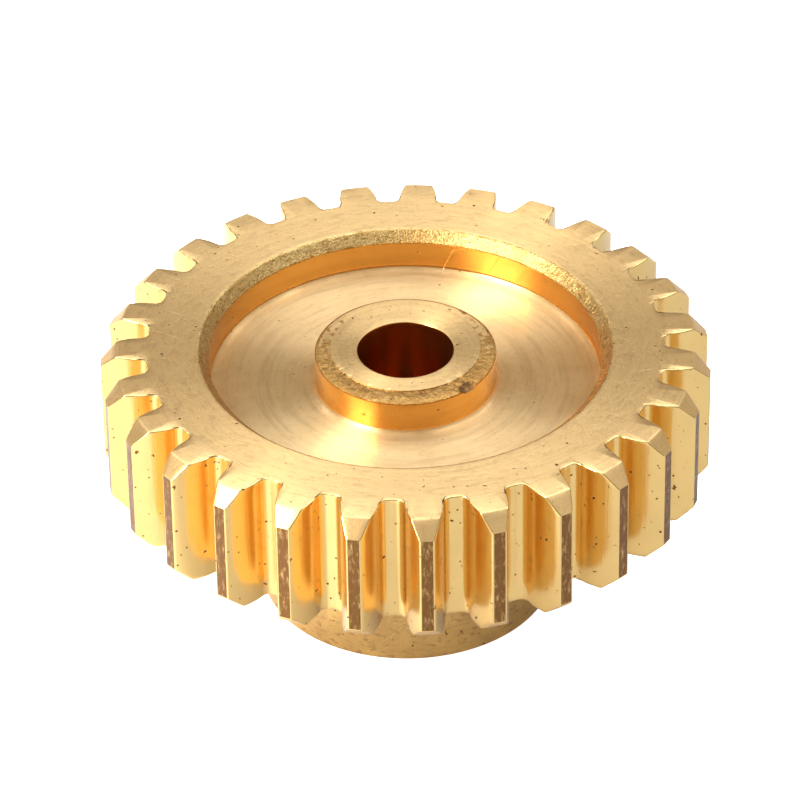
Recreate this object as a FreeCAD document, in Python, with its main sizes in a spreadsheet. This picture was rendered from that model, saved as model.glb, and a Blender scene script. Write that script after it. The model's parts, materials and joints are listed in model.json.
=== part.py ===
# Brass motor pinion: a 27-tooth spur gear of module 0.7 turned and hobbed from one bar, with a face
# recess around a low centre boss, a clamping hub below the rim and a grub screw in the hub.
#
# Frame, in millimetres: the shaft bore runs along +Z, the hub's end face lies on Z = 0 and the toothed
# rim is above it. A tooth space is centred on +X, and the grub screw lies along +Y.
import FreeCAD, Part
import math
import os
import re
import Sketcher
from FreeCAD import Placement, Rotation, Vector

# Driving dimensions. Lengths are in millimetres and angles in degrees.
DIMENSIONS = {
    # teeth, as the mating gear sees them
    "gear_module": 0.7,
    "tooth_count": 27,
    "pressure_angle": 20,
    "profile_shift": -0.07,      # in modules: cut a little deep, for backlash
    "tip_height": 1.07,          # in modules, above the shifted pitch line
    "root_depth": 1.13,          # in modules, below the shifted pitch line
    "root_fillet": 0.25,
    "tooth_chamfer": 0.53,       # 45 degrees, on both ends of every tooth
    # rim and face recess
    "rim_width": 4.7,
    "recess_radius": 6.55,
    "recess_depth": 1.43,
    "recess_chamfer": 0.34,
    # centre boss, a little below the rim's face
    "boss_radius": 3.02,
    "boss_setback": 0.19,
    "boss_edge_width": 0.5,
    "boss_edge_drop": 0.03,
    # bore, for a 3.175 mm motor shaft
    "bore_radius": 1.6,
    "bore_break": 0.03,
    "bore_lead_in": 0.15,
    # clamping hub
    "hub_radius": 4.97,
    "hub_length": 4.7,
    "hub_chamfer": 0.06,
    "tapped_hole_height": 2.35,
    "tapped_hole_radius": 1.5,
    "tapped_hole_countersink": 0.18,
    # M3 x 3 grub screw with a cup point
    "screw_radius": 1.46,
    "screw_length": 3,
    "screw_tip_at": 1.66,        # from the bore's axis, just clear of the bore
    "screw_point_radius": 0.8,
    "screw_point_chamfer": 0.62,
    "screw_cup_radius": 0.66,
    "screw_cup_depth": 0.26,
    "screw_head_chamfer": 0.2,
    "socket_across_flats": 1.5,
    "socket_depth": 1.35,
    "socket_drill_depth": 0.3,
}

FLANK_POINTS = 7                 # points that the involute curve of one flank passes through
CUTTER_OVERLAP = 0.4             # how far a cutter reaches past the metal it removes

doc = FreeCAD.newDocument("motor_pinion")


# Spreadsheet


def make_sheet():
    sheet = doc.addObject("Spreadsheet::Sheet", "Dims")
    for row, (alias, value) in enumerate(DIMENSIONS.items(), start=1):
        sheet.set(f"A{row}", alias)
        sheet.set(f"B{row}", str(value))
        sheet.setAlias(f"B{row}", alias)
    doc.recompute()
    return sheet


sheet = make_sheet()


def size(alias):
    """The value of one cell of the sheet."""
    return float(sheet.get(alias))


def cell_reference(match):
    word = match.group()
    return f"Dims.{word}" if word in DIMENSIONS else word


def bound(expression):
    """The expression with each alias written as a reference to its cell."""
    return re.sub(r"[a-z_]+", cell_reference, expression)


def value_of(expression):
    result = sheet.evalExpression(bound(expression))
    return float(getattr(result, "Value", result))


# Sketches and features


def origin_feature(body, role):
    return next(f for f in body.Origin.OriginFeatures if f.Role == role)


def new_sketch(body, plane, name):
    sketch = body.newObject("Sketcher::SketchObject", name)
    sketch.AttachmentSupport = [(origin_feature(body, plane), "")]
    sketch.MapMode = "FlatFace"
    return sketch


def pin_point(sketch, line, name, across, along):
    """Holds the start of a line at (across, along), each an expression of the sheet."""
    for letter, kind, expression in (("x", "DistanceX", across), ("y", "DistanceY", along)):
        length = value_of(expression)
        if length == 0:
            axis = -2 if kind == "DistanceX" else -1
            sketch.addConstraint(Sketcher.Constraint("PointOnObject", line, 1, axis))
            continue
        number = sketch.addConstraint(Sketcher.Constraint(kind, -1, 1, line, 1, length))
        sketch.renameConstraint(number, f"{name}_{letter}")
        sketch.setExpression(f"Constraints.{name}_{letter}", bound(expression))


def draw_polygon(sketch, points):
    """Straight lines joined end to end in a closed loop. Returns their numbers in the sketch."""
    lines = []
    for start, end in zip(points, points[1:] + points[:1]):
        lines.append(sketch.addGeometry(Part.LineSegment(start, end), False))
    for line, after in zip(lines, lines[1:] + lines[:1]):
        sketch.addConstraint(Sketcher.Constraint("Coincident", line, 2, after, 1))
    return lines


def draw_section(sketch, corners):
    """A closed section of straight lines. corners is {name: (across, along)}, in expressions."""
    points = [Vector(value_of(across), value_of(along), 0) for across, along in corners.values()]
    lines = draw_polygon(sketch, points)
    for line, (name, (across, along)) in zip(lines, corners.items()):
        pin_point(sketch, line, name, across, along)


def turn_section(body, feature, name, plane, corners, axis="V_Axis", height="0"):
    """Revolves a closed section about an axis of its sketch, at a height above the body's origin."""
    sketch = new_sketch(body, plane, f"{name}_section")
    sketch.setExpression("AttachmentOffset.Base.y", bound(height))
    doc.recompute()
    draw_section(sketch, corners)
    turned = body.newObject(feature, name)
    turned.Profile = sketch
    turned.ReferenceAxis = (sketch, [axis])
    turned.Angle = 360
    doc.recompute()
    return turned


# Tooth form


def involute(roll):
    """The involute function of a pressure angle, in radians."""
    return math.tan(roll) - roll


def pitch_radius():
    return size("gear_module") * size("tooth_count") / 2


def base_radius():
    return pitch_radius() * math.cos(math.radians(size("pressure_angle")))


def gap_half_angle(radius):
    """Half of the angle that a tooth space spans at a radius on the flanks, in radians."""
    alpha = math.radians(size("pressure_angle"))
    teeth = size("tooth_count")
    tooth_half_angle = (math.pi / 2 + 2 * size("profile_shift") * math.tan(alpha)) / teeth
    roll = math.acos(min(1, base_radius() / radius))
    return math.pi / teeth - tooth_half_angle - involute(alpha) + involute(roll)


def polar(radius, angle, side=1):
    return Vector(radius * math.cos(angle), side * radius * math.sin(angle), 0)


def gap_side(side, root_radius, outer_radius, fillet):
    """One side of a tooth space, from outside in: the flank, its straight foot and the root fillet."""
    step = (outer_radius - base_radius()) / (FLANK_POINTS - 1)
    radii = [base_radius() + number * step for number in range(FLANK_POINTS)]
    flank = Part.BSplineCurve()
    flank.interpolate([polar(radius, gap_half_angle(radius), side) for radius in radii])

    # The foot is radial, and the fillet touches both it and the root circle.
    foot_angle = gap_half_angle(base_radius())
    centre_radius = root_radius + fillet
    centre_angle = foot_angle - math.asin(fillet / centre_radius)
    foot_end = polar(centre_radius * math.cos(foot_angle - centre_angle), foot_angle, side)
    root_end = polar(root_radius, centre_angle, side)
    centre = polar(centre_radius, centre_angle, side)
    towards_middle = (foot_end + root_end) / 2 - centre
    corner = Part.Arc(foot_end, centre + towards_middle.normalize() * fillet, root_end)
    foot = Part.LineSegment(polar(base_radius(), foot_angle, side), foot_end)
    return [flank, foot, corner], centre_angle


def draw_tooth_gap(sketch):
    """One tooth space on +X. Its curves follow from the gear's data, so they are blocked, not solved."""
    shift = size("profile_shift")
    outer_radius = pitch_radius() + (size("tip_height") + shift) * size("gear_module") + CUTTER_OVERLAP
    root_radius = pitch_radius() - (size("root_depth") - shift) * size("gear_module")
    curves = []
    for side in (1, -1):
        side_curves, root_angle = gap_side(side, root_radius, outer_radius, size("root_fillet"))
        curves += side_curves
    for radius, angle in ((root_radius, root_angle), (outer_radius, gap_half_angle(outer_radius))):
        curves.append(Part.Arc(polar(radius, angle, -1), polar(radius, 0), polar(radius, angle)))
    for curve in curves:
        number = sketch.addGeometry(curve, False)
        sketch.addConstraint(Sketcher.Constraint("Block", number))


# Gear

TIP = "gear_module * (tooth_count / 2 + tip_height + profile_shift)"
TOP = "hub_length + rim_width"
BOSS_TOP = "hub_length + rim_width - boss_setback"
BLANK_SECTION = {
    "end_inner": ("bore_radius + bore_lead_in", "0"),
    "end_outer": ("hub_radius - hub_chamfer", "0"),
    "hub_low": ("hub_radius", "hub_chamfer"),
    "hub_high": ("hub_radius", "hub_length"),
    "rim_low": (f"{TIP} - tooth_chamfer", "hub_length"),
    "tip_low": (TIP, "hub_length + tooth_chamfer"),
    "tip_high": (TIP, f"{TOP} - tooth_chamfer"),
    "rim_high": (f"{TIP} - tooth_chamfer", TOP),
    "recess_edge": ("recess_radius + recess_chamfer", TOP),
    "recess_wall": ("recess_radius", f"{TOP} - recess_chamfer"),
    "recess_floor": ("recess_radius", f"{TOP} - recess_depth"),
    "boss_foot": ("boss_radius", f"{TOP} - recess_depth"),
    "boss_edge": ("boss_radius", f"{BOSS_TOP} - boss_edge_drop"),
    "boss_face": ("boss_radius - boss_edge_width", BOSS_TOP),
    "bore_edge": ("bore_radius + bore_break", BOSS_TOP),
    "bore_high": ("bore_radius", f"{BOSS_TOP} - bore_break"),
    "bore_low": ("bore_radius", "bore_lead_in"),
}
TAPPED_HOLE_SECTION = {
    "inner_end": ("0", "0"),
    "inner_wall": ("0", "tapped_hole_radius"),
    "mouth_wall": ("hub_radius - tapped_hole_countersink", "tapped_hole_radius"),
    "mouth_outer": ("hub_radius + 1", "tapped_hole_radius + tapped_hole_countersink + 1"),
    "outer_end": ("hub_radius + 1", "0"),
}


def make_gear():
    body = doc.addObject("PartDesign::Body", "gear")
    body.Label = "gear"
    blank = turn_section(body, "PartDesign::Revolution", "blank", "XZ_Plane", BLANK_SECTION)

    gap_sketch = new_sketch(body, "XY_Plane", "tooth_gap_outline")
    draw_tooth_gap(gap_sketch)
    gap = body.newObject("PartDesign::Pocket", "tooth_gap")
    gap.Profile = gap_sketch
    gap.Type = "ThroughAll"
    gap.Reversed = True
    doc.recompute()
    one_gap = blank.Shape.Volume - gap.Shape.Volume

    teeth = body.newObject("PartDesign::PolarPattern", "teeth")
    teeth.Originals = [gap]
    teeth.Axis = (origin_feature(body, "Z_Axis"), [""])
    teeth.Angle = 360
    teeth.setExpression("Occurrences", "Dims.tooth_count")
    body.Tip = teeth
    doc.recompute()
    all_gaps = blank.Shape.Volume - teeth.Shape.Volume
    print(f"one tooth gap {one_gap:.3f} mm3, all gaps {all_gaps:.3f} mm3")

    hole = (TAPPED_HOLE_SECTION, "H_Axis", "tapped_hole_height")
    turn_section(body, "PartDesign::Groove", "tapped_hole", "YZ_Plane", *hole)
    print(f"tapped hole {teeth.Shape.Volume - body.Shape.Volume:.3f} mm3, gear {body.Shape.Volume:.3f} mm3")
    return body


# Grub screw, turned about its own Z axis with the cup point at Z = 0, then laid along +Y

SCREW_SECTION = {
    "cup_centre": ("0", "screw_cup_depth"),
    "cup_edge": ("screw_cup_radius", "0"),
    "point_edge": ("screw_point_radius", "0"),
    "thread_start": ("screw_radius", "screw_point_chamfer"),
    "thread_end": ("screw_radius", "screw_length - screw_head_chamfer"),
    "head_edge": ("screw_radius - screw_head_chamfer", "screw_length"),
    "head_centre": ("0", "screw_length"),
}
SOCKET_DRILL_SECTION = {
    "drill_tip": ("0", "screw_length - socket_depth - socket_drill_depth"),
    "drill_wall": ("socket_across_flats / 2", "screw_length - socket_depth"),
    "drill_centre": ("0", "screw_length - socket_depth"),
}


def draw_hexagon(sketch):
    """A hexagon about the sketch's origin, held by its distance across flats."""
    half_corner = "socket_across_flats / 2 / cos(30 deg)"
    corner_radius = value_of(half_corner)
    lines = draw_polygon(sketch, [polar(corner_radius, math.radians(30 + 60 * n)) for n in range(6)])
    circle = sketch.addGeometry(Part.Circle(Vector(), Vector(0, 0, 1), corner_radius), True)
    sketch.addConstraint(Sketcher.Constraint("Coincident", circle, 3, -1, 1))
    sketch.addConstraint(Sketcher.Constraint("Vertical", lines[-1]))
    for line in lines:
        sketch.addConstraint(Sketcher.Constraint("PointOnObject", line, 1, circle))
    for line in lines[1:]:
        sketch.addConstraint(Sketcher.Constraint("Equal", lines[0], line))
    number = sketch.addConstraint(Sketcher.Constraint("Radius", circle, corner_radius))
    sketch.renameConstraint(number, "corner_radius")
    sketch.setExpression("Constraints.corner_radius", bound(half_corner))


def make_grub_screw():
    body = doc.addObject("PartDesign::Body", "grub_screw")
    body.Label = "grub_screw"
    stud = turn_section(body, "PartDesign::Revolution", "stud", "XZ_Plane", SCREW_SECTION)

    hexagon = new_sketch(body, "XY_Plane", "socket_outline")
    hexagon.setExpression("AttachmentOffset.Base.z", bound("screw_length"))
    doc.recompute()
    draw_hexagon(hexagon)
    socket = body.newObject("PartDesign::Pocket", "socket")
    socket.Profile = hexagon
    socket.setExpression("Length", bound("socket_depth"))
    doc.recompute()
    print(f"socket {stud.Shape.Volume - socket.Shape.Volume:.4f} mm3")

    turn_section(body, "PartDesign::Groove", "socket_drill", "XZ_Plane", SOCKET_DRILL_SECTION)
    body.Placement = Placement(Vector(), Rotation(Vector(1, 0, 0), -90))
    body.setExpression("Placement.Base.y", bound("screw_tip_at"))
    body.setExpression("Placement.Base.z", bound("tapped_hole_height"))
    doc.recompute()
    print(f"grub screw {body.Shape.Volume:.4f} mm3")
    return body


# Build, test and write


def test_document():
    for item in doc.Objects:
        if {"Invalid", "Error"} & set(item.State):
            raise RuntimeError(f"{item.Label} failed: {item.State}")


def write_part(part):
    shape = part.Shape
    if shape.isNull() or not shape.isValid():
        raise RuntimeError(f"{part.Label} has no valid shape")
    shape.exportStep(f"parts/{part.Label}.step")


parts = [make_gear(), make_grub_screw()]
doc.recompute()
test_document()
os.makedirs("parts", exist_ok=True)
for part in parts:
    write_part(part)
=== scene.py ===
# A brass motor pinion with a black grub screw, on a pale studio floor.
import json
import math

import bmesh
import bpy
import numpy as np
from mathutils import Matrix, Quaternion, Vector, noise


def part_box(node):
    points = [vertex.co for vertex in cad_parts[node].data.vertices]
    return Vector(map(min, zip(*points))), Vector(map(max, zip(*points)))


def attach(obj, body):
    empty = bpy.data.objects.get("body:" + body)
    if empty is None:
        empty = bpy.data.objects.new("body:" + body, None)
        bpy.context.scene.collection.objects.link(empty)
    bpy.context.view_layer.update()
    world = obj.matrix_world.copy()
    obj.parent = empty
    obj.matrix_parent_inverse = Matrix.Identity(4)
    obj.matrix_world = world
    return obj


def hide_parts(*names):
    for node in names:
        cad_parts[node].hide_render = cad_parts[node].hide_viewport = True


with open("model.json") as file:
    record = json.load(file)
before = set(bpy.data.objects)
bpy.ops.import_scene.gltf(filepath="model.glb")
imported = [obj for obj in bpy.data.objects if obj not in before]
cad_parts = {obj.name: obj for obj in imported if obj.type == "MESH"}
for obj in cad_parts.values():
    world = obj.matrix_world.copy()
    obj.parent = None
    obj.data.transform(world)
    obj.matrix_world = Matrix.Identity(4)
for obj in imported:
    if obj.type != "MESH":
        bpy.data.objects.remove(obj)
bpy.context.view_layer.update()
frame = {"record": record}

# Sizes are in millimetres, in the frame of the CAD model, until a mesh is made.
MM = 0.001
mounts = {mount["name"]: mount for mount in frame["record"]["mounts"]}
gear_low, gear_high = (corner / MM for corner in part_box("gear"))
screw_low, screw_high = (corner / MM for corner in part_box("grub_screw"))

# Teeth
TEETH = 27
PITCH = 2 * math.pi / TEETH
TIP_R = -gear_low.x
PITCH_R = mounts["tooth_mesh"]["pos_m"][0] / MM
MODULE = 2 * PITCH_R / TEETH
PRESSURE_ANGLE = math.radians(20)
PROFILE_SHIFT = -0.07
BASE_R = PITCH_R * math.cos(PRESSURE_ANGLE)
ROOT_R = PITCH_R - 1.2 * MODULE
ROOT_FILLET = 0.25
TOOTH_CHAMFER = 0.53

# Turned surfaces
TOP = gear_high.z
RIM_LOW = TOP - 4.7
RECESS_R = 6.55
RECESS_EDGE = 0.34
FLOOR = TOP - 1.43
BOSS_R = 3.02
BOSS_TOP = TOP - 0.19
BORE_R = mounts["bore"]["dims"]["r_mm"]
LEAD_IN = 0.15
HUB_R = 4.97
HUB_CHAMFER = 0.06

# Wear: a knock on the edge of the boss, and a dish worn into the mouth of the bore. Angles are from +X.
KNOCK_ANGLE = -46
KNOCK_SIZE = 0.42
KNOCK_DEPTH = 0.17
DISH_ANGLE = 62
DISH_SPREAD = 28
DISH_WIDTH = 0.26
DISH_DEPTH = 0.03

# Grub screw and its tapped hole
THREAD_PITCH = 0.5
THREAD_R = 1.5
SCREW_R = screw_high.x
SCREW_TIP = screw_low.y
SCREW_LENGTH = screw_high.y - screw_low.y
SCREW_HEIGHT = (screw_low.z + screw_high.z) / 2
SOCKET_FLATS = 1.5
SOCKET_DEPTH = 1.35
FLANK_SLOPE = math.radians(30)
MINOR_R = THREAD_R - 0.54 * THREAD_PITCH
SCREW_MINOR_R = MINOR_R - 0.04
THREAD_COLUMNS = 72

# Mesh resolution of one half of a tooth pitch, from the middle of a gap to the middle of a tooth
ROOT_STEPS = 2
FILLET_STEPS = 3
FLANK_STEPS = 7
CORNER_STEPS = 3
LAND_STEPS = 3
HALF_STEPS = ROOT_STEPS + FILLET_STEPS + FLANK_STEPS + CORNER_STEPS + LAND_STEPS
COLUMNS = TEETH * 2 * HALF_STEPS
MERGE = 3       # columns of the rim that meet one column of the hub and boss
EDGE = 0.045    # how far tooth edges are broken

# Camera: angles in degrees, distance in metres, lens and aim in millimetres
CAMERA_AZIMUTH = -0.064
CAMERA_ELEVATION = 35.188
CAMERA_DISTANCE = 0.1829
CAMERA_LENS = 247.89
CAMERA_ROLL = -0.862
CAMERA_AIM_RIGHT = -0.176
CAMERA_AIM_UP = -1.837


# Tooth outline


def involute(roll):
    return np.tan(roll) - roll


def flank_angle(radius):
    """Half of the angle that a tooth space spans at a radius on its flanks."""
    roll = np.arccos(np.minimum(1, BASE_R / radius))
    tooth = (math.pi / 2 + 2 * PROFILE_SHIFT * math.tan(PRESSURE_ANGLE)) / TEETH
    return PITCH / 2 - tooth - involute(PRESSURE_ANGLE) + involute(roll)


# Each column's place in its pitch. The second half of a pitch mirrors the first.
column = np.arange(COLUMNS)
step_in_pitch = column % (2 * HALF_STEPS)
mirrored = step_in_pitch > HALF_STEPS
half_step = np.where(mirrored, 2 * HALF_STEPS - step_in_pitch, step_in_pitch)
pitch_start = column // (2 * HALF_STEPS) * PITCH


def share(first, count):
    """How far each column is through a stretch of the half pitch that starts after a step."""
    return np.clip((half_step - first) / count, 0, 1)


def outline(limit, corner):
    """Points of the rim's outline where the teeth end at a radius, with their corners rounded."""
    limit = np.broadcast_to(limit, COLUMNS)
    corner = np.broadcast_to(corner, COLUMNS)
    fillet_r = ROOT_R + ROOT_FILLET
    foot_angle = flank_angle(BASE_R)
    root_angle = foot_angle - math.asin(ROOT_FILLET / fillet_r)
    foot_r = fillet_r * math.cos(foot_angle - root_angle)

    stretches = np.cumsum([0, ROOT_STEPS, FILLET_STEPS, FLANK_STEPS, CORNER_STEPS])
    counts = (ROOT_STEPS, FILLET_STEPS, FLANK_STEPS, CORNER_STEPS, LAND_STEPS)
    root, fillet, flank, bend, land = (share(first, count) for first, count in zip(stretches, counts))

    turn = math.pi + root_angle - fillet * (math.pi / 2 + root_angle - foot_angle)
    fillet_x = fillet_r * math.cos(root_angle) + ROOT_FILLET * np.cos(turn)
    fillet_y = fillet_r * math.sin(root_angle) + ROOT_FILLET * np.sin(turn)
    end_r = limit - corner
    flank_r = foot_r + (end_r - foot_r) * flank
    end_angle = flank_angle(end_r)
    limit_angle = flank_angle(limit)
    land_angle = limit_angle + corner / limit
    bend_r = (1 - bend) ** 2 * end_r + (1 - (1 - bend) ** 2) * limit
    bend_angle = (1 - bend) ** 2 * end_angle + 2 * bend * (1 - bend) * limit_angle + bend**2 * land_angle

    where = [half_step <= stretches[1], half_step <= stretches[2], half_step <= stretches[3],
             half_step <= stretches[4]]
    radius = np.select(where, [ROOT_R + 0 * root, np.hypot(fillet_x, fillet_y), flank_r, bend_r], limit)
    angle = np.select(
        where,
        [root_angle * root, np.arctan2(fillet_y, fillet_x), flank_angle(flank_r), bend_angle],
        land_angle + (PITCH / 2 - land_angle) * land,
    )
    angle = pitch_start + np.where(mirrored, PITCH - angle, angle)
    return np.stack([radius * np.cos(angle), radius * np.sin(angle)], axis=1)


def inset(points, amount):
    """The closed outline moved into the metal by an amount, which may differ from point to point."""
    along = np.roll(points, -1, axis=0) - np.roll(points, 1, axis=0)
    along /= np.linalg.norm(along, axis=1, keepdims=True)
    inward = np.stack([-along[:, 1], along[:, 0]], axis=1)
    return points + inward * np.broadcast_to(amount, COLUMNS)[:, None]


def rough(points, size, seed):
    """Smooth noise from about -1 to 1 at each point, with features of a size in millimetres."""
    place = Vector((seed * 17.3, seed * 5.1, seed * 11.7))
    return np.array([noise.noise(Vector(point) / size + place) for point in points])


# Building a mesh from closed rings


class Surface:
    """Vertices and faces of a mesh made of rings, each band of faces with a material's number."""

    def __init__(self):
        self.points = []
        self.faces = []
        self.materials = []
        self.last = None

    def add_points(self, points):
        start = len(self.points)
        self.points.extend(map(tuple, points))
        return np.arange(start, start + len(points))

    def add_face(self, corners, material):
        self.faces.append([int(corner) for corner in corners])
        self.materials.append(material)

    def join(self, before, after, material):
        """A band of faces between two rings. The second may have MERGE times fewer or more points.

        The material may be one number, or one number for each face of the band.
        """
        if len(before) == len(after):
            numbers = np.broadcast_to(material, len(before))
            quads = zip(before, np.roll(before, -1), np.roll(after, -1), after)
            for quad, number in zip(quads, numbers):
                self.add_face(quad, int(number))
            return
        many, few = (before, after) if len(before) > len(after) else (after, before)
        many_points = np.append(many, many[0])
        for number, (start, end) in enumerate(zip(few, np.roll(few, -1))):
            fan = many_points[number * MERGE:(number + 1) * MERGE + 1]
            self.add_face((start, fan[0], fan[1]), material)
            self.add_face((start, fan[1], fan[2], end), material)
            self.add_face((end, fan[2], fan[3]), material)

    def ring(self, points, material):
        ids = self.add_points(points)
        if self.last is not None:
            self.join(self.last, ids, material)
        self.last = ids
        return ids

    def to_object(self, name, slots):
        mesh = bpy.data.meshes.new(name)
        mesh.from_pydata([tuple(np.array(point) * MM) for point in self.points], [], self.faces)
        for slot in slots:
            mesh.materials.append(slot)
        mesh.polygons.foreach_set("material_index", self.materials)
        work = bmesh.new()
        work.from_mesh(mesh)
        bmesh.ops.remove_doubles(work, verts=work.verts, dist=1e-4 * MM)
        bmesh.ops.dissolve_degenerate(work, edges=work.edges, dist=1e-5 * MM)
        bmesh.ops.recalc_face_normals(work, faces=work.faces)
        work.to_mesh(mesh)
        work.free()
        thing = bpy.data.objects.new(name, mesh)
        bpy.context.scene.collection.objects.link(thing)
        return thing


def angles(columns):
    return np.arange(columns) * 2 * math.pi / columns


def angle_from(direction, columns):
    """How far each column is from a direction in degrees, in radians from -pi to pi."""
    return (angles(columns) - math.radians(direction) + math.pi) % (2 * math.pi) - math.pi


def facing(direction, columns):
    """How much each column faces a direction, from 0 for away from it to 1."""
    return (1 + np.cos(angle_from(direction, columns))) / 2


def circle(radius, height, columns):
    angle = angles(columns)
    radius = np.broadcast_to(radius, columns)
    height = np.broadcast_to(height, columns)
    return np.stack([radius * np.cos(angle), radius * np.sin(angle), height], axis=1)


def smooth(thing, angle_deg):
    mesh = thing.data
    mesh.polygons.foreach_set("use_smooth", [True] * len(mesh.polygons))
    mesh.set_sharp_from_angle(angle=math.radians(angle_deg))
    weighted = thing.modifiers.new("weighted_normals", "WEIGHTED_NORMAL")
    weighted.keep_sharp = True


# Gear

FACE, BOSS, FLOOR_TURNED, WALL, RAGGED, TORN, CHAMFER, FLANK, LAND, HUB, BORE, THREAD = range(12)
LAND_START = HALF_STEPS - LAND_STEPS
on_land = np.minimum(half_step, np.roll(half_step, -1)) >= LAND_START


def tooth_limit(height):
    """The radius where the teeth end at a height, which the chamfers at both ends reduce."""
    cut = max(0, height - (TOP - TOOTH_CHAMFER), RIM_LOW + TOOTH_CHAMFER - height)
    return TIP_R - cut


def tooth_ring(surface, height, into=0.0):
    """A ring round the teeth, with the material of the band above it. It may be set into the metal."""
    flat = outline(tooth_limit(height), EDGE)
    if np.any(into):
        flat = inset(flat, into)
    points = np.column_stack([flat, np.full(COLUMNS, height)])
    between_chamfers = RIM_LOW + TOOTH_CHAMFER < height < TOP - TOOTH_CHAMFER - 0.001
    material = np.where(on_land, LAND if between_chamfers else CHAMFER, FLANK)
    surface.ring(points, FACE if height == TOP else material)


def worn_edge(height, seed):
    """How far the edge of a face is broken along the outline, with a chip here and there."""
    flat = outline(tooth_limit(height), EDGE)
    points = np.column_stack([flat, np.full(COLUMNS, height)])
    chips = np.maximum(0, rough(points, 0.4, seed + 2) - 0.25)
    wear = 0.4 * rough(points, 0.5, seed) + 0.4 * rough(points, 0.12, seed + 1)
    return EDGE * (0.8 + wear + 3 * chips)


def add_teeth(surface):
    """Rings down the teeth, from the broken edge of the upper face to that of the lower one."""
    upper = worn_edge(TOP, 3)
    lower = worn_edge(RIM_LOW, 5)
    cut = TOOTH_CHAMFER
    tooth_ring(surface, TOP, upper * 1.05)
    tooth_ring(surface, TOP - EDGE * 0.3, upper * 0.35)
    tooth_ring(surface, TOP - EDGE)
    for height in np.linspace(TOP - 0.16, TOP - cut + 0.04, 3):
        tooth_ring(surface, height)
    tooth_ring(surface, TOP - cut)
    for height in np.linspace(TOP - cut - 0.04, RIM_LOW + cut + 0.04, 9):
        tooth_ring(surface, height)
    tooth_ring(surface, RIM_LOW + cut)
    for height in np.linspace(RIM_LOW + cut - 0.04, RIM_LOW + 0.16, 3):
        tooth_ring(surface, height)
    tooth_ring(surface, RIM_LOW + EDGE)
    tooth_ring(surface, RIM_LOW + EDGE * 0.3, lower * 0.35)
    tooth_ring(surface, RIM_LOW, lower * 1.05)


def add_turned(surface, stations, columns):
    """Rings of a turned surface. A station is (radius, height, material) and optional roughness."""
    for radius, height, material, *roughness in stations:
        points = circle(radius, height, columns)
        if roughness:
            depth, seed = roughness
            points[:, 2] += depth * (0.6 * rough(points, 0.22, seed) + rough(points, 0.08, seed + 1))
            spread = depth * (0.6 * rough(points, 0.3, seed + 2) + rough(points, 0.09, seed + 3))
            points[:, :2] *= (1 + spread / radius)[:, None]
            points[:, 2] = np.minimum(points[:, 2], TOP)
        surface.ring(points, material)


def between(first, last, count, radius=None, height=None, material=0):
    """Evenly spaced stations along a straight wall or face."""
    places = np.linspace(first, last, count)
    if radius is None:
        return [(place, height, material) for place in places]
    return [(radius, place, material) for place in places]


def knock(radius, columns):
    """How deep a knock on the edge of the boss goes at a radius."""
    along = angle_from(KNOCK_ANGLE, columns) * radius
    away = np.hypot(along, BOSS_R + 0.05 - radius) / KNOCK_SIZE
    return KNOCK_DEPTH * np.clip(2 - 2 * away, 0, 1)


def dish(radius, columns):
    """How deep the bore's mouth is worn at a radius."""
    along = np.clip(1 - (angle_from(DISH_ANGLE, columns) / math.radians(DISH_SPREAD)) ** 2, 0, 1)
    return DISH_DEPTH * along**2 * max(0, 1 - (radius - BORE_R) / DISH_WIDTH)


def boss_stations(columns):
    """The boss. The edge of its top is torn at the front and sides, and the tear is widest in front."""
    front = facing(-90, columns)
    torn_width = 0.36 + 0.28 * front
    stations = []
    for out, drop in ((0, 0.05), (0.008, 0.02), (0.03, 0.004), (0.06, 0), (0.2, 0), (DISH_WIDTH, 0),
                      (0.4, 0), (0.6, 0)):
        height = BOSS_TOP - drop - dish(BORE_R + out, columns)
        stations.append((BORE_R + out, height, BORE if out < 0.01 else BOSS))
    stations.append((BOSS_R - torn_width - 0.02, BOSS_TOP, BOSS, 0.004, 18))
    for part in np.linspace(0, 1, 11):
        radius = BOSS_R - torn_width + (torn_width - 0.02) * part
        height = BOSS_TOP - 0.03 * front - 0.045 * part**4 - knock(radius, columns)
        patches = front + 0.5 * rough(circle(radius, 0, columns), 0.16, 28)
        torn = np.where((patches > 0.35) | (part > 0.8), TORN, BOSS)
        material = np.where(knock(radius, columns) > 0.04, LAND, torn)
        stations.append((radius, height, material, 0.002 + 0.02 * front, 20))
    for radius, drop in ((BOSS_R - 0.004, 0.08), (BOSS_R, 0.13)):
        height = BOSS_TOP - np.maximum(drop, knock(radius, columns) + drop / 4)
        stations.append((radius, height, TORN, 0.002 + 0.006 * front, 24))
    stations += between(BOSS_TOP - 0.3, FLOOR + 0.2, 4, radius=BOSS_R, material=WALL)
    stations += [(BOSS_R + 0.012, FLOOR + 0.12, WALL), (BOSS_R + 0.06, FLOOR + 0.045, FLOOR_TURNED)]
    stations += [(BOSS_R + 0.16, FLOOR, FLOOR_TURNED), (BOSS_R + 0.35, FLOOR, FLOOR_TURNED)]
    return stations


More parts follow.
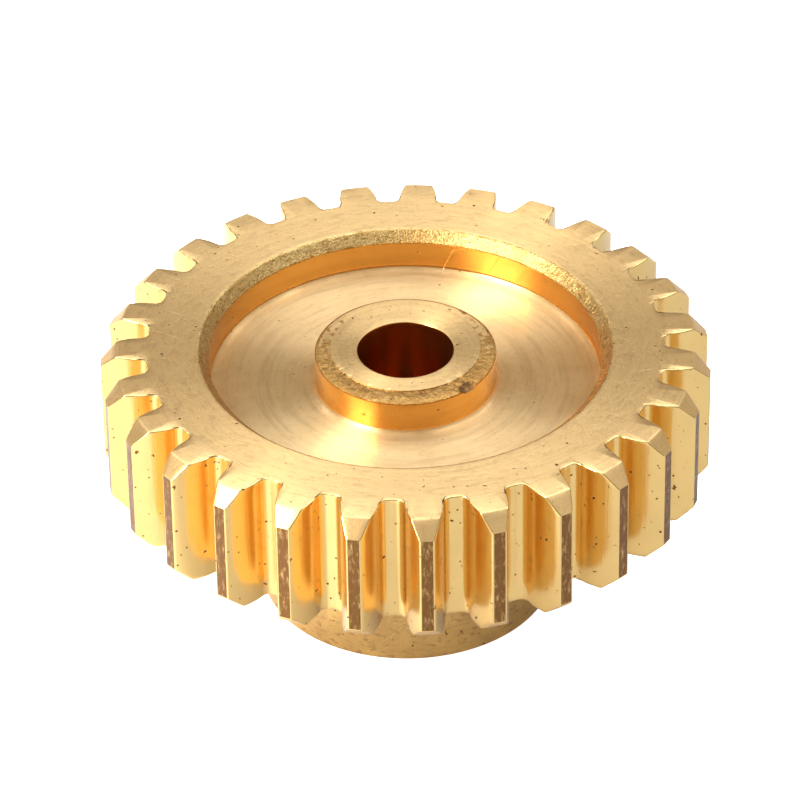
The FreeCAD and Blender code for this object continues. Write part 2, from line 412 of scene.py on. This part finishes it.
def recess_stations(columns):
    """The turned floor, the wall with its ragged edge, and the face of the rim up to the teeth."""
    stations = between(BOSS_R + 0.65, RECESS_R - 0.4, 6, height=FLOOR, material=FLOOR_TURNED)
    stations += [(RECESS_R - 0.25, FLOOR, FLOOR_TURNED), (RECESS_R - 0.11, FLOOR + 0.035, FLOOR_TURNED)]
    stations += [(RECESS_R - 0.035, FLOOR + 0.1, FLOOR_TURNED), (RECESS_R, FLOOR + 0.2, WALL)]
    stations += between(FLOOR + 0.3, TOP - RECESS_EDGE - 0.06, 5, radius=RECESS_R, material=WALL)
    for part in np.linspace(0, 1, 9):
        reach = (RECESS_EDGE - 0.02) * part
        depth = (0.003 + 0.008 * math.sin(math.pi * part)) * (0.6 + 1.6 * facing(-10, columns) ** 3)
        stations.append((RECESS_R + reach, TOP - RECESS_EDGE + reach, RAGGED, depth, 30))
    rim = RECESS_R + RECESS_EDGE
    stations += [(rim + 0.03, TOP, RAGGED, 0.006, 34), (rim + 0.12, TOP, FACE)]
    stations += between(rim + 0.5, ROOT_R - 0.15, 4, height=TOP, material=FACE)
    return stations


def under_stations():
    """The underside of the rim."""
    return between(ROOT_R - 0.15, HUB_R + 0.7, 6, height=RIM_LOW, material=FACE)


def hub_stations():
    """The hub's side and end, and the bore up to its mouth."""
    stations = [(HUB_R + 0.3, RIM_LOW, FACE), (HUB_R + 0.1, RIM_LOW, FACE)]
    stations += [(HUB_R + 0.045, RIM_LOW - 0.018, HUB), (HUB_R + 0.012, RIM_LOW - 0.06, HUB)]
    stations += between(RIM_LOW - 0.14, HUB_CHAMFER + 0.05, 28, radius=HUB_R, material=HUB)
    stations += [(HUB_R, HUB_CHAMFER + 0.02, HUB), (HUB_R - 0.02, HUB_CHAMFER - 0.02, HUB)]
    stations += [(HUB_R - HUB_CHAMFER + 0.02, 0.02, HUB), (HUB_R - HUB_CHAMFER - 0.02, 0, FACE)]
    stations += between(HUB_R - 0.4, BORE_R + LEAD_IN + 0.15, 6, height=0, material=FACE)
    stations += [(BORE_R + LEAD_IN + 0.02, 0, FACE), (BORE_R + LEAD_IN - 0.02, 0.02, BORE)]
    stations += [(BORE_R + 0.015, LEAD_IN - 0.02, BORE), (BORE_R, LEAD_IN + 0.02, BORE)]
    stations += between(LEAD_IN + 0.3, BOSS_TOP - 0.3, 30, radius=BORE_R, material=BORE)
    return stations


def make_gear_blank(slots):
    """The gear without its tapped hole: one closed surface that starts and ends at the bore's mouth."""
    surface = Surface()
    inner = COLUMNS // MERGE
    mouth = np.arange(inner)
    add_turned(surface, boss_stations(inner), inner)
    add_turned(surface, recess_stations(COLUMNS), COLUMNS)
    add_teeth(surface)
    add_turned(surface, under_stations(), COLUMNS)
    add_turned(surface, hub_stations(), inner)
    surface.join(surface.last, mouth, BORE)
    return surface.to_object("gear_brass", slots)


# Threads. Both lie along +Y at the grub screw's height, and follow one helix.

OXIDE, RUBBED = range(2)


def thread_radius(along, angle, crest_r, root_r, slack):
    """The radius of a right-hand thread at a place along its axis, from the 60 degree profile."""
    turns = (along - THREAD_PITCH * angle / (2 * math.pi)) / THREAD_PITCH
    from_crest = np.abs(turns - np.round(turns)) * THREAD_PITCH
    slope = THREAD_R - (from_crest - THREAD_PITCH / 16 + slack) / math.tan(FLANK_SLOPE)
    return np.clip(slope, root_r, crest_r)


def thread_rows(start, end, crest_r, root_r, slack):
    """Places along the axis that sample the profile, from beyond the start to beyond the end.

    Their number in one turn comes second.
    """
    flat = THREAD_PITCH / 16 - slack
    crest, root = (flat + (THREAD_R - radius) * math.tan(FLANK_SLOPE) for radius in (crest_r, root_r))
    side = [crest, crest + (root - crest) / 3, crest + (root - crest) * 2 / 3, root]
    bends = [-bend for bend in reversed(side)] + side
    turns = range(math.floor(start / THREAD_PITCH) - 2, math.ceil(end / THREAD_PITCH) + 3)
    return [turn * THREAD_PITCH + bend for turn in turns for bend in bends], len(bends)


def add_thread(surface, start, end, crest_r, root_r, slack, envelope, material):
    """A threaded rod between two planes. Rows that lie beyond a plane are squeezed flat onto it."""
    angle = angles(THREAD_COLUMNS)
    rows, per_turn = thread_rows(start, end, crest_r, root_r, slack)
    rings = []
    for row in rows:
        along = np.clip(row + THREAD_PITCH * angle / (2 * math.pi), start, end)
        radius = envelope(along, thread_radius(along, angle, crest_r, root_r, slack))
        rings.append(surface.add_points(around_screw(radius, along)))
    if surface.last is not None:
        surface.join(surface.last, rings[0], material)
    for number in range(len(rings) - 1):
        before, after = rings[number], rings[number + 1]
        for corner in range(THREAD_COLUMNS - 1):
            surface.add_face(
                (before[corner], before[corner + 1], after[corner + 1], after[corner]), material
            )
        if number + 1 + per_turn < len(rings):
            next_before, next_after = rings[number + per_turn], rings[number + 1 + per_turn]
            surface.add_face((before[-1], next_before[0], next_after[0], after[-1]), material)
    surface.last = rings[-1]


def around_screw(radius, along):
    """Points round the grub screw's axis."""
    angle = angles(THREAD_COLUMNS)
    radius = np.broadcast_to(radius, angle.shape)
    along = np.broadcast_to(along, angle.shape)
    return np.stack([radius * np.sin(angle), along, SCREW_HEIGHT + radius * np.cos(angle)], axis=1)


def hexagon_radius(flats):
    """The distance from a hexagon's middle to its outline, in each column's direction."""
    from_flat = (angles(THREAD_COLUMNS) + math.pi / 6) % (math.pi / 3) - math.pi / 6
    return flats / 2 / np.cos(from_flat)


def make_hole_cutter(slots):
    """A threaded rod with a cone at its outer end, for the tapped hole and its countersink."""
    surface = Surface()
    start, end = 0.3, HUB_R + 0.4
    countersink = HUB_R - 0.18

    def envelope(along, radius):
        return np.maximum(radius, THREAD_R + along - countersink)

    add_thread(surface, start, end, THREAD_R, MINOR_R, 0, envelope, THREAD)
    surface.add_face(range(THREAD_COLUMNS), THREAD)
    surface.add_face(surface.last, THREAD)
    return surface.to_object("hole_cutter", slots)


def cut_away(thing, cutter):
    """Takes the cutter's shape out of a piece for good, and removes the cutter."""
    cut = thing.modifiers.new("cut", "BOOLEAN")
    cut.operation = "DIFFERENCE"
    cut.solver = "EXACT"
    cut.object = cutter
    bpy.context.view_layer.update()
    done = thing.evaluated_get(bpy.context.evaluated_depsgraph_get())
    mesh = bpy.data.meshes.new_from_object(done)
    thing.modifiers.clear()
    thing.data = mesh
    bpy.data.objects.remove(cutter)


def make_screw(slots):
    """The grub screw, from the middle of its cup point over the thread to the bottom of its socket."""
    surface = Surface()
    head = SCREW_TIP + SCREW_LENGTH
    cup = ((0.2, 0.19), (0.45, 0.09), (0.62, 0.022), (0.655, 0.006), (0.69, 0), (0.76, 0))
    surface.ring(around_screw(0.01, SCREW_TIP + 0.26), OXIDE)
    surface.add_face(range(THREAD_COLUMNS), OXIDE)
    for radius, depth in cup:
        surface.ring(around_screw(radius, SCREW_TIP + depth), RUBBED if depth < 0.03 else OXIDE)

    def envelope(along, radius):
        point = 0.8 + (along - SCREW_TIP) * (SCREW_R - 0.8) / 0.62
        return np.minimum(radius, np.minimum(point, SCREW_R + head - 0.2 - along))

    add_thread(surface, SCREW_TIP, head, SCREW_R, SCREW_MINOR_R, 0.03, envelope, OXIDE)
    surface.ring(around_screw(SCREW_MINOR_R - 0.06, head), OXIDE)
    surface.ring(around_screw(1.02, head), OXIDE)
    mouth = hexagon_radius(SOCKET_FLATS)
    surface.ring(around_screw(np.maximum(mouth + 0.05, 0.83), head), RUBBED)
    surface.ring(around_screw(mouth + 0.008, head - 0.045), RUBBED)
    surface.ring(around_screw(mouth, head - 0.07), OXIDE)
    for depth in np.linspace(0.3, SOCKET_DEPTH, 4):
        surface.ring(around_screw(mouth, head - depth), OXIDE)
    surface.ring(around_screw(SOCKET_FLATS / 2, head - SOCKET_DEPTH - 0.001), OXIDE)
    surface.ring(around_screw(0.3, head - SOCKET_DEPTH - 0.2), OXIDE)
    surface.ring(around_screw(0.01, head - SOCKET_DEPTH - 0.3), OXIDE)
    surface.add_face(surface.last, OXIDE)
    return surface.to_object("grub_screw_threaded", slots)


# Materials


class Shader:
    """A material under construction: its nodes, its object coordinates in millimetres and its shader."""

    def __init__(self, name, metallic, roughness):
        self.material = bpy.data.materials.new(name)
        self.material.use_nodes = True
        self.tree = self.material.node_tree
        self.surface = self.tree.nodes["Principled BSDF"]
        self.surface.inputs["Metallic"].default_value = metallic
        self.surface.inputs["Roughness"].default_value = roughness
        where = self.node("ShaderNodeTexCoord").outputs["Object"]
        self.place = self.vector("SCALE", where, scale=1 / MM)
        self.x, self.y, self.z = self.node("ShaderNodeSeparateXYZ", Vector=self.place).outputs
        flat = self.vector("MULTIPLY", self.place, (1, 1, 0))
        self.radius = self.vector("LENGTH", flat)
        self.around = self.vector("NORMALIZE", flat)

    def node(self, kind, settings=None, **inputs):
        """A new node, with its settings and its inputs by name, _ for a space."""
        made = self.tree.nodes.new(kind)
        for name, value in (settings or {}).items():
            setattr(made, name, value)
        for name, value in inputs.items():
            self.feed(made.inputs[name.replace("_", " ")], value)
        return made

    def feed(self, socket, value):
        """Links an output to an input, or sets the input to a plain value."""
        if isinstance(value, bpy.types.NodeSocket):
            self.tree.links.new(value, socket)
        else:
            socket.default_value = value

    def math(self, operation, *values, clamp=False):
        made = self.node("ShaderNodeMath", {"operation": operation, "use_clamp": clamp})
        for socket, value in zip(made.inputs, values):
            self.feed(socket, value)
        return made.outputs[0]

    def vector(self, operation, first, second=None, scale=None):
        made = self.node("ShaderNodeVectorMath", {"operation": operation})
        self.feed(made.inputs[0], first)
        if second is not None:
            self.feed(made.inputs[1], second)
        if scale is not None:
            self.feed(made.inputs["Scale"], scale)
        return made.outputs["Value" if operation in ("LENGTH", "DOT_PRODUCT") else "Vector"]

    def combine(self, x, y, z):
        return self.node("ShaderNodeCombineXYZ", X=x, Y=y, Z=z).outputs[0]

    def noise(self, place, scale, detail=2.0, gain=0.5):
        """Noise from 0 to 1."""
        made = self.node("ShaderNodeTexNoise", Vector=place, Scale=scale, Detail=detail, Roughness=gain)
        return made.outputs["Fac"]

    def ramp(self, value, low, high, from_low=0.0, from_high=1.0):
        """The value moved from one range to another and held inside it."""
        made = self.node("ShaderNodeMapRange", Value=value, From_Min=from_low, From_Max=from_high,
                         To_Min=low, To_Max=high)
        return made.outputs["Result"]

    def mix(self, amount, first, second):
        made = self.node("ShaderNodeMix", {"data_type": "RGBA"})
        self.feed(made.inputs[0], amount)
        self.feed(made.inputs[6], first)
        self.feed(made.inputs[7], second)
        return made.outputs[2]

    def turned(self, fine, wander=1.5):
        """Coordinates in which noise becomes the fine rings that a lathe tool leaves."""
        along = self.math("ADD", self.radius, self.math("MULTIPLY", self.z, 0.7))
        rings = self.vector("SCALE", self.around, scale=wander)
        across = self.combine(0, 0, self.math("MULTIPLY", along, fine))
        return self.vector("ADD", rings, across)

    def dashes(self, across, along):
        """Coordinates in which noise becomes short marks that lie along the turning direction."""
        width = self.math("MULTIPLY", self.math("ADD", self.radius, self.z), across)
        length = self.vector("SCALE", self.around, scale=along)
        return self.vector("ADD", length, self.combine(0, 0, width))

    def drawn(self, across, along):
        """Coordinates in which noise becomes streaks along Z."""
        return self.vector("MULTIPLY", self.place, (across, across, along))

    def scratches(self, turns, across=9.0, along=0.45, rarity=0.69):
        """Fine straight scratches, one family for each direction in degrees about Z, from 0 to 1."""
        total = 0.0
        for turn in turns:
            angle = math.radians(turn)
            length = self.vector("DOT_PRODUCT", self.place, (math.cos(angle), math.sin(angle), 0.3))
            width = self.vector("DOT_PRODUCT", self.place, (-math.sin(angle), math.cos(angle), 0.4))
            length = self.math("MULTIPLY", length, along)
            width = self.math("MULTIPLY", width, across)
            marks = self.noise(self.combine(length, width, turn), 1.0, 1.0)
            total = self.math("ADD", total, self.ramp(marks, 0, 1, rarity, rarity + 0.04))
        return total

    def bump(self, height, distance_mm, normal=None):
        made = self.node("ShaderNodeBump", Height=height, Strength=1.0, Distance=distance_mm * MM)
        if normal is not None:
            self.feed(made.inputs["Normal"], normal)
        return made.outputs[0]


# Colours of the brass, from bright metal to tarnish and pits. The pale, deep and red copies are painted
# highlight, painted shade and painted reflection, and the skin colour is partly painted shade.
BRASS = (0.90, 0.57, 0.22, 1)
# Painted highlight: a paler copy of the brass for the turned floor of the recess, which brightens its
# highlights.
BRASS_PAINTED_HIGHLIGHT_PALE = (0.93, 0.62, 0.27, 1)
BRASS_GOLD = (0.85, 0.565, 0.205, 1)
# Painted shade: a deeper, darker orange copy of the brass for the walls of the recess and the tapped
# hole, standing in for light bounced round inside them.
BRASS_PAINTED_HOLLOW_SHADE = (0.77, 0.41, 0.11, 1)
BRASS_TORN = (0.66, 0.35, 0.10, 1)
BRASS_DULL = (0.56, 0.33, 0.13, 1)
BRASS_BURNT = (0.36, 0.17, 0.035, 1)
# Painted reflection: a redder copy of the brass for the bore, standing in for the red of light bounced
# round inside it.
BRASS_PAINTED_BOUNCE_RED = (0.95, 0.43, 0.10, 1)
# Partly the lands' own brown skin and partly painted shade, standing in for the dark floor the lands
# reflect.
BRASS_SKIN_AND_SHADE = (0.22, 0.10, 0.03, 1)
PIT = (0.20, 0.09, 0.03, 1)


def brass(name, base, roughness, rings=0.0, dashes=0.0, streaks=0.0, grain=0.0, scratch=0.0, pits=0.0,
          dull=0.0, worn=BRASS_DULL, skin_and_shade=0.0, anisotropy=0.0):
    """Machined brass. Rings to scratch are bump depths in millimetres, and the others are amounts.

    Dull patches and the hollows of rings, dashes and grain take the worn colour.
    """
    shader = Shader(name, 1.0, roughness)
    cloud = shader.noise(shader.place, 0.9, 4.0)
    colour = shader.mix(shader.ramp(cloud, 0, dull, 0.35, 0.7), base, worn)
    gloss = shader.ramp(cloud, roughness * 0.85, roughness * 1.2, 0.3, 0.7)
    normal = None
    if rings:
        lathe = shader.noise(shader.turned(5.0), 1.0, 4.0, 0.6)
        normal = shader.bump(lathe, rings, normal)
        colour = shader.mix(shader.ramp(lathe, 80 * rings, 0, 0.36, 0.52), colour, worn)
    if dashes:
        marks = shader.noise(shader.dashes(6.0, 16.0), 1.0, 3.0, 0.65)
        normal = shader.bump(marks, dashes, normal)
        colour = shader.mix(shader.ramp(marks, 1.6 * dull, 0, 0.34, 0.46), colour, worn)
    if streaks:
        drawn = shader.noise(shader.drawn(9.0, 0.5), 1.0, 3.0, 0.6)
        normal = shader.bump(drawn, streaks, normal)
    # Dark brown streaks: partly real skin on the lands, partly painted shade that darkens them.
    if skin_and_shade:
        bark = shader.noise(shader.drawn(9.0, 2.4), 1.0, 5.0, 0.75)
        colour = shader.mix(shader.ramp(bark, skin_and_shade, 0, 0.52, 0.78), colour, BRASS_SKIN_AND_SHADE)
        normal = shader.bump(bark, 0.03, normal)
    if grain:
        sand = shader.noise(shader.place, 14.0, 3.0, 0.7)
        normal = shader.bump(sand, grain, normal)
        colour = shader.mix(shader.ramp(sand, 40 * grain, 0, 0.35, 0.6), colour, worn)
    if scratch:
        marks = shader.scratches((13, 61, 104, 152))
        normal = shader.bump(marks, -scratch, normal)
    if pits:
        spots = shader.noise(shader.place, 5.5, 1.0, 0.4)
        hole = shader.ramp(spots, 0, 1, 0.80 - pits, 0.84 - pits)
        colour = shader.mix(hole, colour, PIT)
        normal = shader.bump(hole, -0.01, normal)
    shader.feed(shader.surface.inputs["Base Color"], colour)
    shader.feed(shader.surface.inputs["Roughness"], gloss)
    shader.feed(shader.surface.inputs["Normal"], normal)
    if anisotropy:
        shader.surface.inputs["Anisotropic"].default_value = anisotropy
        shader.surface.inputs["Anisotropic Rotation"].default_value = 0.25
        tangent = shader.node("ShaderNodeTangent", {"direction_type": "RADIAL", "axis": "Z"})
        shader.feed(shader.surface.inputs["Tangent"], tangent.outputs[0])
    return shader.material


def gear_slots():
    """The gear's materials, in the order of their numbers."""
    return [
        brass("brass_face", BRASS, 0.4, rings=0.002, dashes=0.014, grain=0.005, scratch=0.0015,
              pits=0.055, dull=0.26, anisotropy=0.8),
        brass("brass_boss", BRASS, 0.4, rings=0.004, dashes=0.01, grain=0.004, pits=0.055, dull=0.26,
              anisotropy=0.8),
        # The turned floor's paler colour is painted highlight.
        brass("brass_turned_floor", BRASS_PAINTED_HIGHLIGHT_PALE, 0.43, rings=0.004, dashes=0.004, grain=0.002,
              scratch=0.001, pits=0.03, dull=0.12, anisotropy=0.96),
        # The walls' deep colour is painted shade.
        brass("brass_wall", BRASS_PAINTED_HOLLOW_SHADE, 0.18, rings=0.001, scratch=0.003, pits=0.03, dull=0.1),
        brass("brass_ragged", BRASS_GOLD, 0.3, grain=0.022, dashes=0.006, pits=0.06, dull=0.5,
              worn=BRASS_BURNT),
        brass("brass_torn", BRASS_TORN, 0.3, grain=0.026, dashes=0.006, pits=0.08, dull=0.7,
              worn=BRASS_BURNT),
        brass("brass_chamfer", BRASS, 0.36, rings=0.003, dashes=0.006, grain=0.008, pits=0.05, dull=0.2,
              anisotropy=0.5),
        brass("brass_flank", BRASS_GOLD, 0.22, streaks=0.005, grain=0.001, pits=0.08, dull=0.12),
        # The lands' dark brown is partly painted shade.
        brass("brass_land", BRASS, 0.3, skin_and_shade=1.0, pits=0.06, dull=0.5),
        brass("brass_hub", BRASS_GOLD, 0.3, rings=0.002, dashes=0.01, scratch=0.006, pits=0.07, dull=0.7,
              anisotropy=0.4),
        # The bore's red is painted reflection.
        brass("brass_bore", BRASS_PAINTED_BOUNCE_RED, 0.2, rings=0.001, streaks=0.003, dull=0.3),
        # The thread's deep colour is painted shade.
        brass("brass_thread", BRASS_PAINTED_HOLLOW_SHADE, 0.25, rings=0.001, dull=0.3),
    ]


def black_oxide(name, colour, roughness):
    """Steel with a thin, finely mottled oxide coat."""
    shader = Shader(name, 1.0, roughness)
    cloud = shader.noise(shader.place, 3.0, 3.0)
    grain = shader.noise(shader.place, 30.0, 2.0)
    lighter = tuple(min(1, part * 1.9) for part in colour[:3]) + (1,)
    mottled = shader.mix(shader.ramp(cloud, 0, 1, 0.35, 0.75), colour, lighter)
    shader.feed(shader.surface.inputs["Base Color"], mottled)
    shader.feed(shader.surface.inputs["Roughness"], shader.ramp(grain, roughness * 0.8, roughness * 1.2))
    shader.feed(shader.surface.inputs["Normal"], shader.bump(grain, 0.002))
    return shader.material


# Studio


def make_floor(name, grey, glow, drop, seen_by_camera):
    """A sheet of paper under the gear: the evenly white one the camera sees, or a hidden grey one that
    lights the brass and paints light and shade into its reflections.
    """
    mesh = bpy.data.meshes.new(name)
    reach = 0.6
    corners = [(x * reach, y * reach, -drop * MM) for x, y in ((-1, -1), (1, -1), (1, 1), (-1, 1))]
    mesh.from_pydata(corners, [], [(0, 1, 2, 3)])
    floor = bpy.data.objects.new(name, mesh)
    bpy.context.scene.collection.objects.link(floor)
    shader = Shader(name, 0, 0.8)
    shader.surface.inputs["Base Color"].default_value = (grey, grey, grey, 1)
    shader.surface.inputs["Emission Color"].default_value = (1, 1, 1, 1)
    shader.surface.inputs["Emission Strength"].default_value = glow
    mesh.materials.append(shader.material)
    floor.visible_camera = seen_by_camera
    floor.visible_glossy = not seen_by_camera
    floor.visible_diffuse = not seen_by_camera
    floor.visible_shadow = not seen_by_camera
    return shader


def away_from_middle(azimuth, elevation):
    """The direction from the gear to a place around it. Azimuth 0 is at the front, at -Y."""
    a, e = math.radians(azimuth), math.radians(elevation)
    return Vector((math.sin(a) * math.cos(e), -math.cos(a) * math.cos(e), math.sin(e)))


def add_softbox(name, azimuth, elevation, distance, width, height, radiance, colour=(1, 1, 1)):
    """A rectangular area light that faces the gear."""
    data = bpy.data.lights.new(name, "AREA")
    data.shape = "RECTANGLE"
    data.size = width
    data.size_y = height
    data.energy = radiance * math.pi * width * height
    data.color = colour
    light = bpy.data.objects.new(name, data)
    away = away_from_middle(azimuth, elevation)
    light.location = away * distance
    light.rotation_mode = "QUATERNION"
    light.rotation_quaternion = away.to_track_quat("Z", "Y")
    bpy.context.scene.collection.objects.link(light)


def make_world():
    """An even, dim white light from all sides."""
    world = bpy.data.worlds.new("studio")
    world.use_nodes = True
    world.node_tree.nodes["Background"].inputs["Color"].default_value = (1, 1, 1, 1)
    world.node_tree.nodes["Background"].inputs["Strength"].default_value = 0.5
    bpy.context.scene.world = world


def camera_turn(back):
    """The rotation of a rolled camera whose back faces a direction."""
    return back.to_track_quat("Z", "Y") @ Quaternion((0, 0, 1), math.radians(CAMERA_ROLL))


def make_camera():
    """A camera that aims beside the middle of the gear's face, so that it needs no shift."""
    target = Vector((0, 0, TOP)) * MM
    back = away_from_middle(CAMERA_AZIMUTH, CAMERA_ELEVATION)
    place = target + back * CAMERA_DISTANCE
    right, up = camera_turn(back) @ Vector((1, 0, 0)), camera_turn(back) @ Vector((0, 1, 0))
    aim = target + (right * CAMERA_AIM_RIGHT + up * CAMERA_AIM_UP) * MM
    data = bpy.data.cameras.new("camera")
    data.lens = CAMERA_LENS
    data.sensor_width = 36
    data.clip_start, data.clip_end = 0.01, 5
    camera = bpy.data.objects.new("camera", data)
    camera.location = place
    camera.rotation_mode = "QUATERNION"
    camera.rotation_quaternion = camera_turn((place - aim).normalized())
    bpy.context.scene.collection.objects.link(camera)
    bpy.context.scene.camera = camera


# Pieces

brass_slots = gear_slots()
gear = make_gear_blank(brass_slots)
cut_away(gear, make_hole_cutter(brass_slots))
smooth(gear, 40)
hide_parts("gear")
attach(gear, "gear")

screw = make_screw([black_oxide("black_oxide", (0.03, 0.03, 0.033, 1), 0.3),
                    black_oxide("rubbed_steel", (0.3, 0.29, 0.28, 1), 0.3)])
smooth(screw, 35)
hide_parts("grub_screw")
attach(screw, "grub_screw")

# Floor, light and camera

make_floor("floor", grey=1, glow=1.0, drop=0.01, seen_by_camera=True)
# Painted light and shade: a hidden grey sheet, seen only in reflections, glows strongly towards the left
# (x below -3 mm) and dimly elsewhere, standing in for lit and shaded paper.
lower = make_floor("floor_mirrored", grey=0.5, glow=0.1, drop=0.02, seen_by_camera=False)
lower.feed(lower.surface.inputs["Emission Strength"], lower.ramp(lower.x, 0.95, 0.1, -7, -3))
make_world()
add_softbox("key", azimuth=-60, elevation=35, distance=0.5, width=0.24, height=0.24, radiance=17.0)
add_softbox("overhead", azimuth=180, elevation=75, distance=0.5, width=0.84, height=0.5, radiance=2.1,
            colour=(0.86, 1.02, 1.32))
make_camera()
bpy.context.scene.view_settings.view_transform = "Standard"
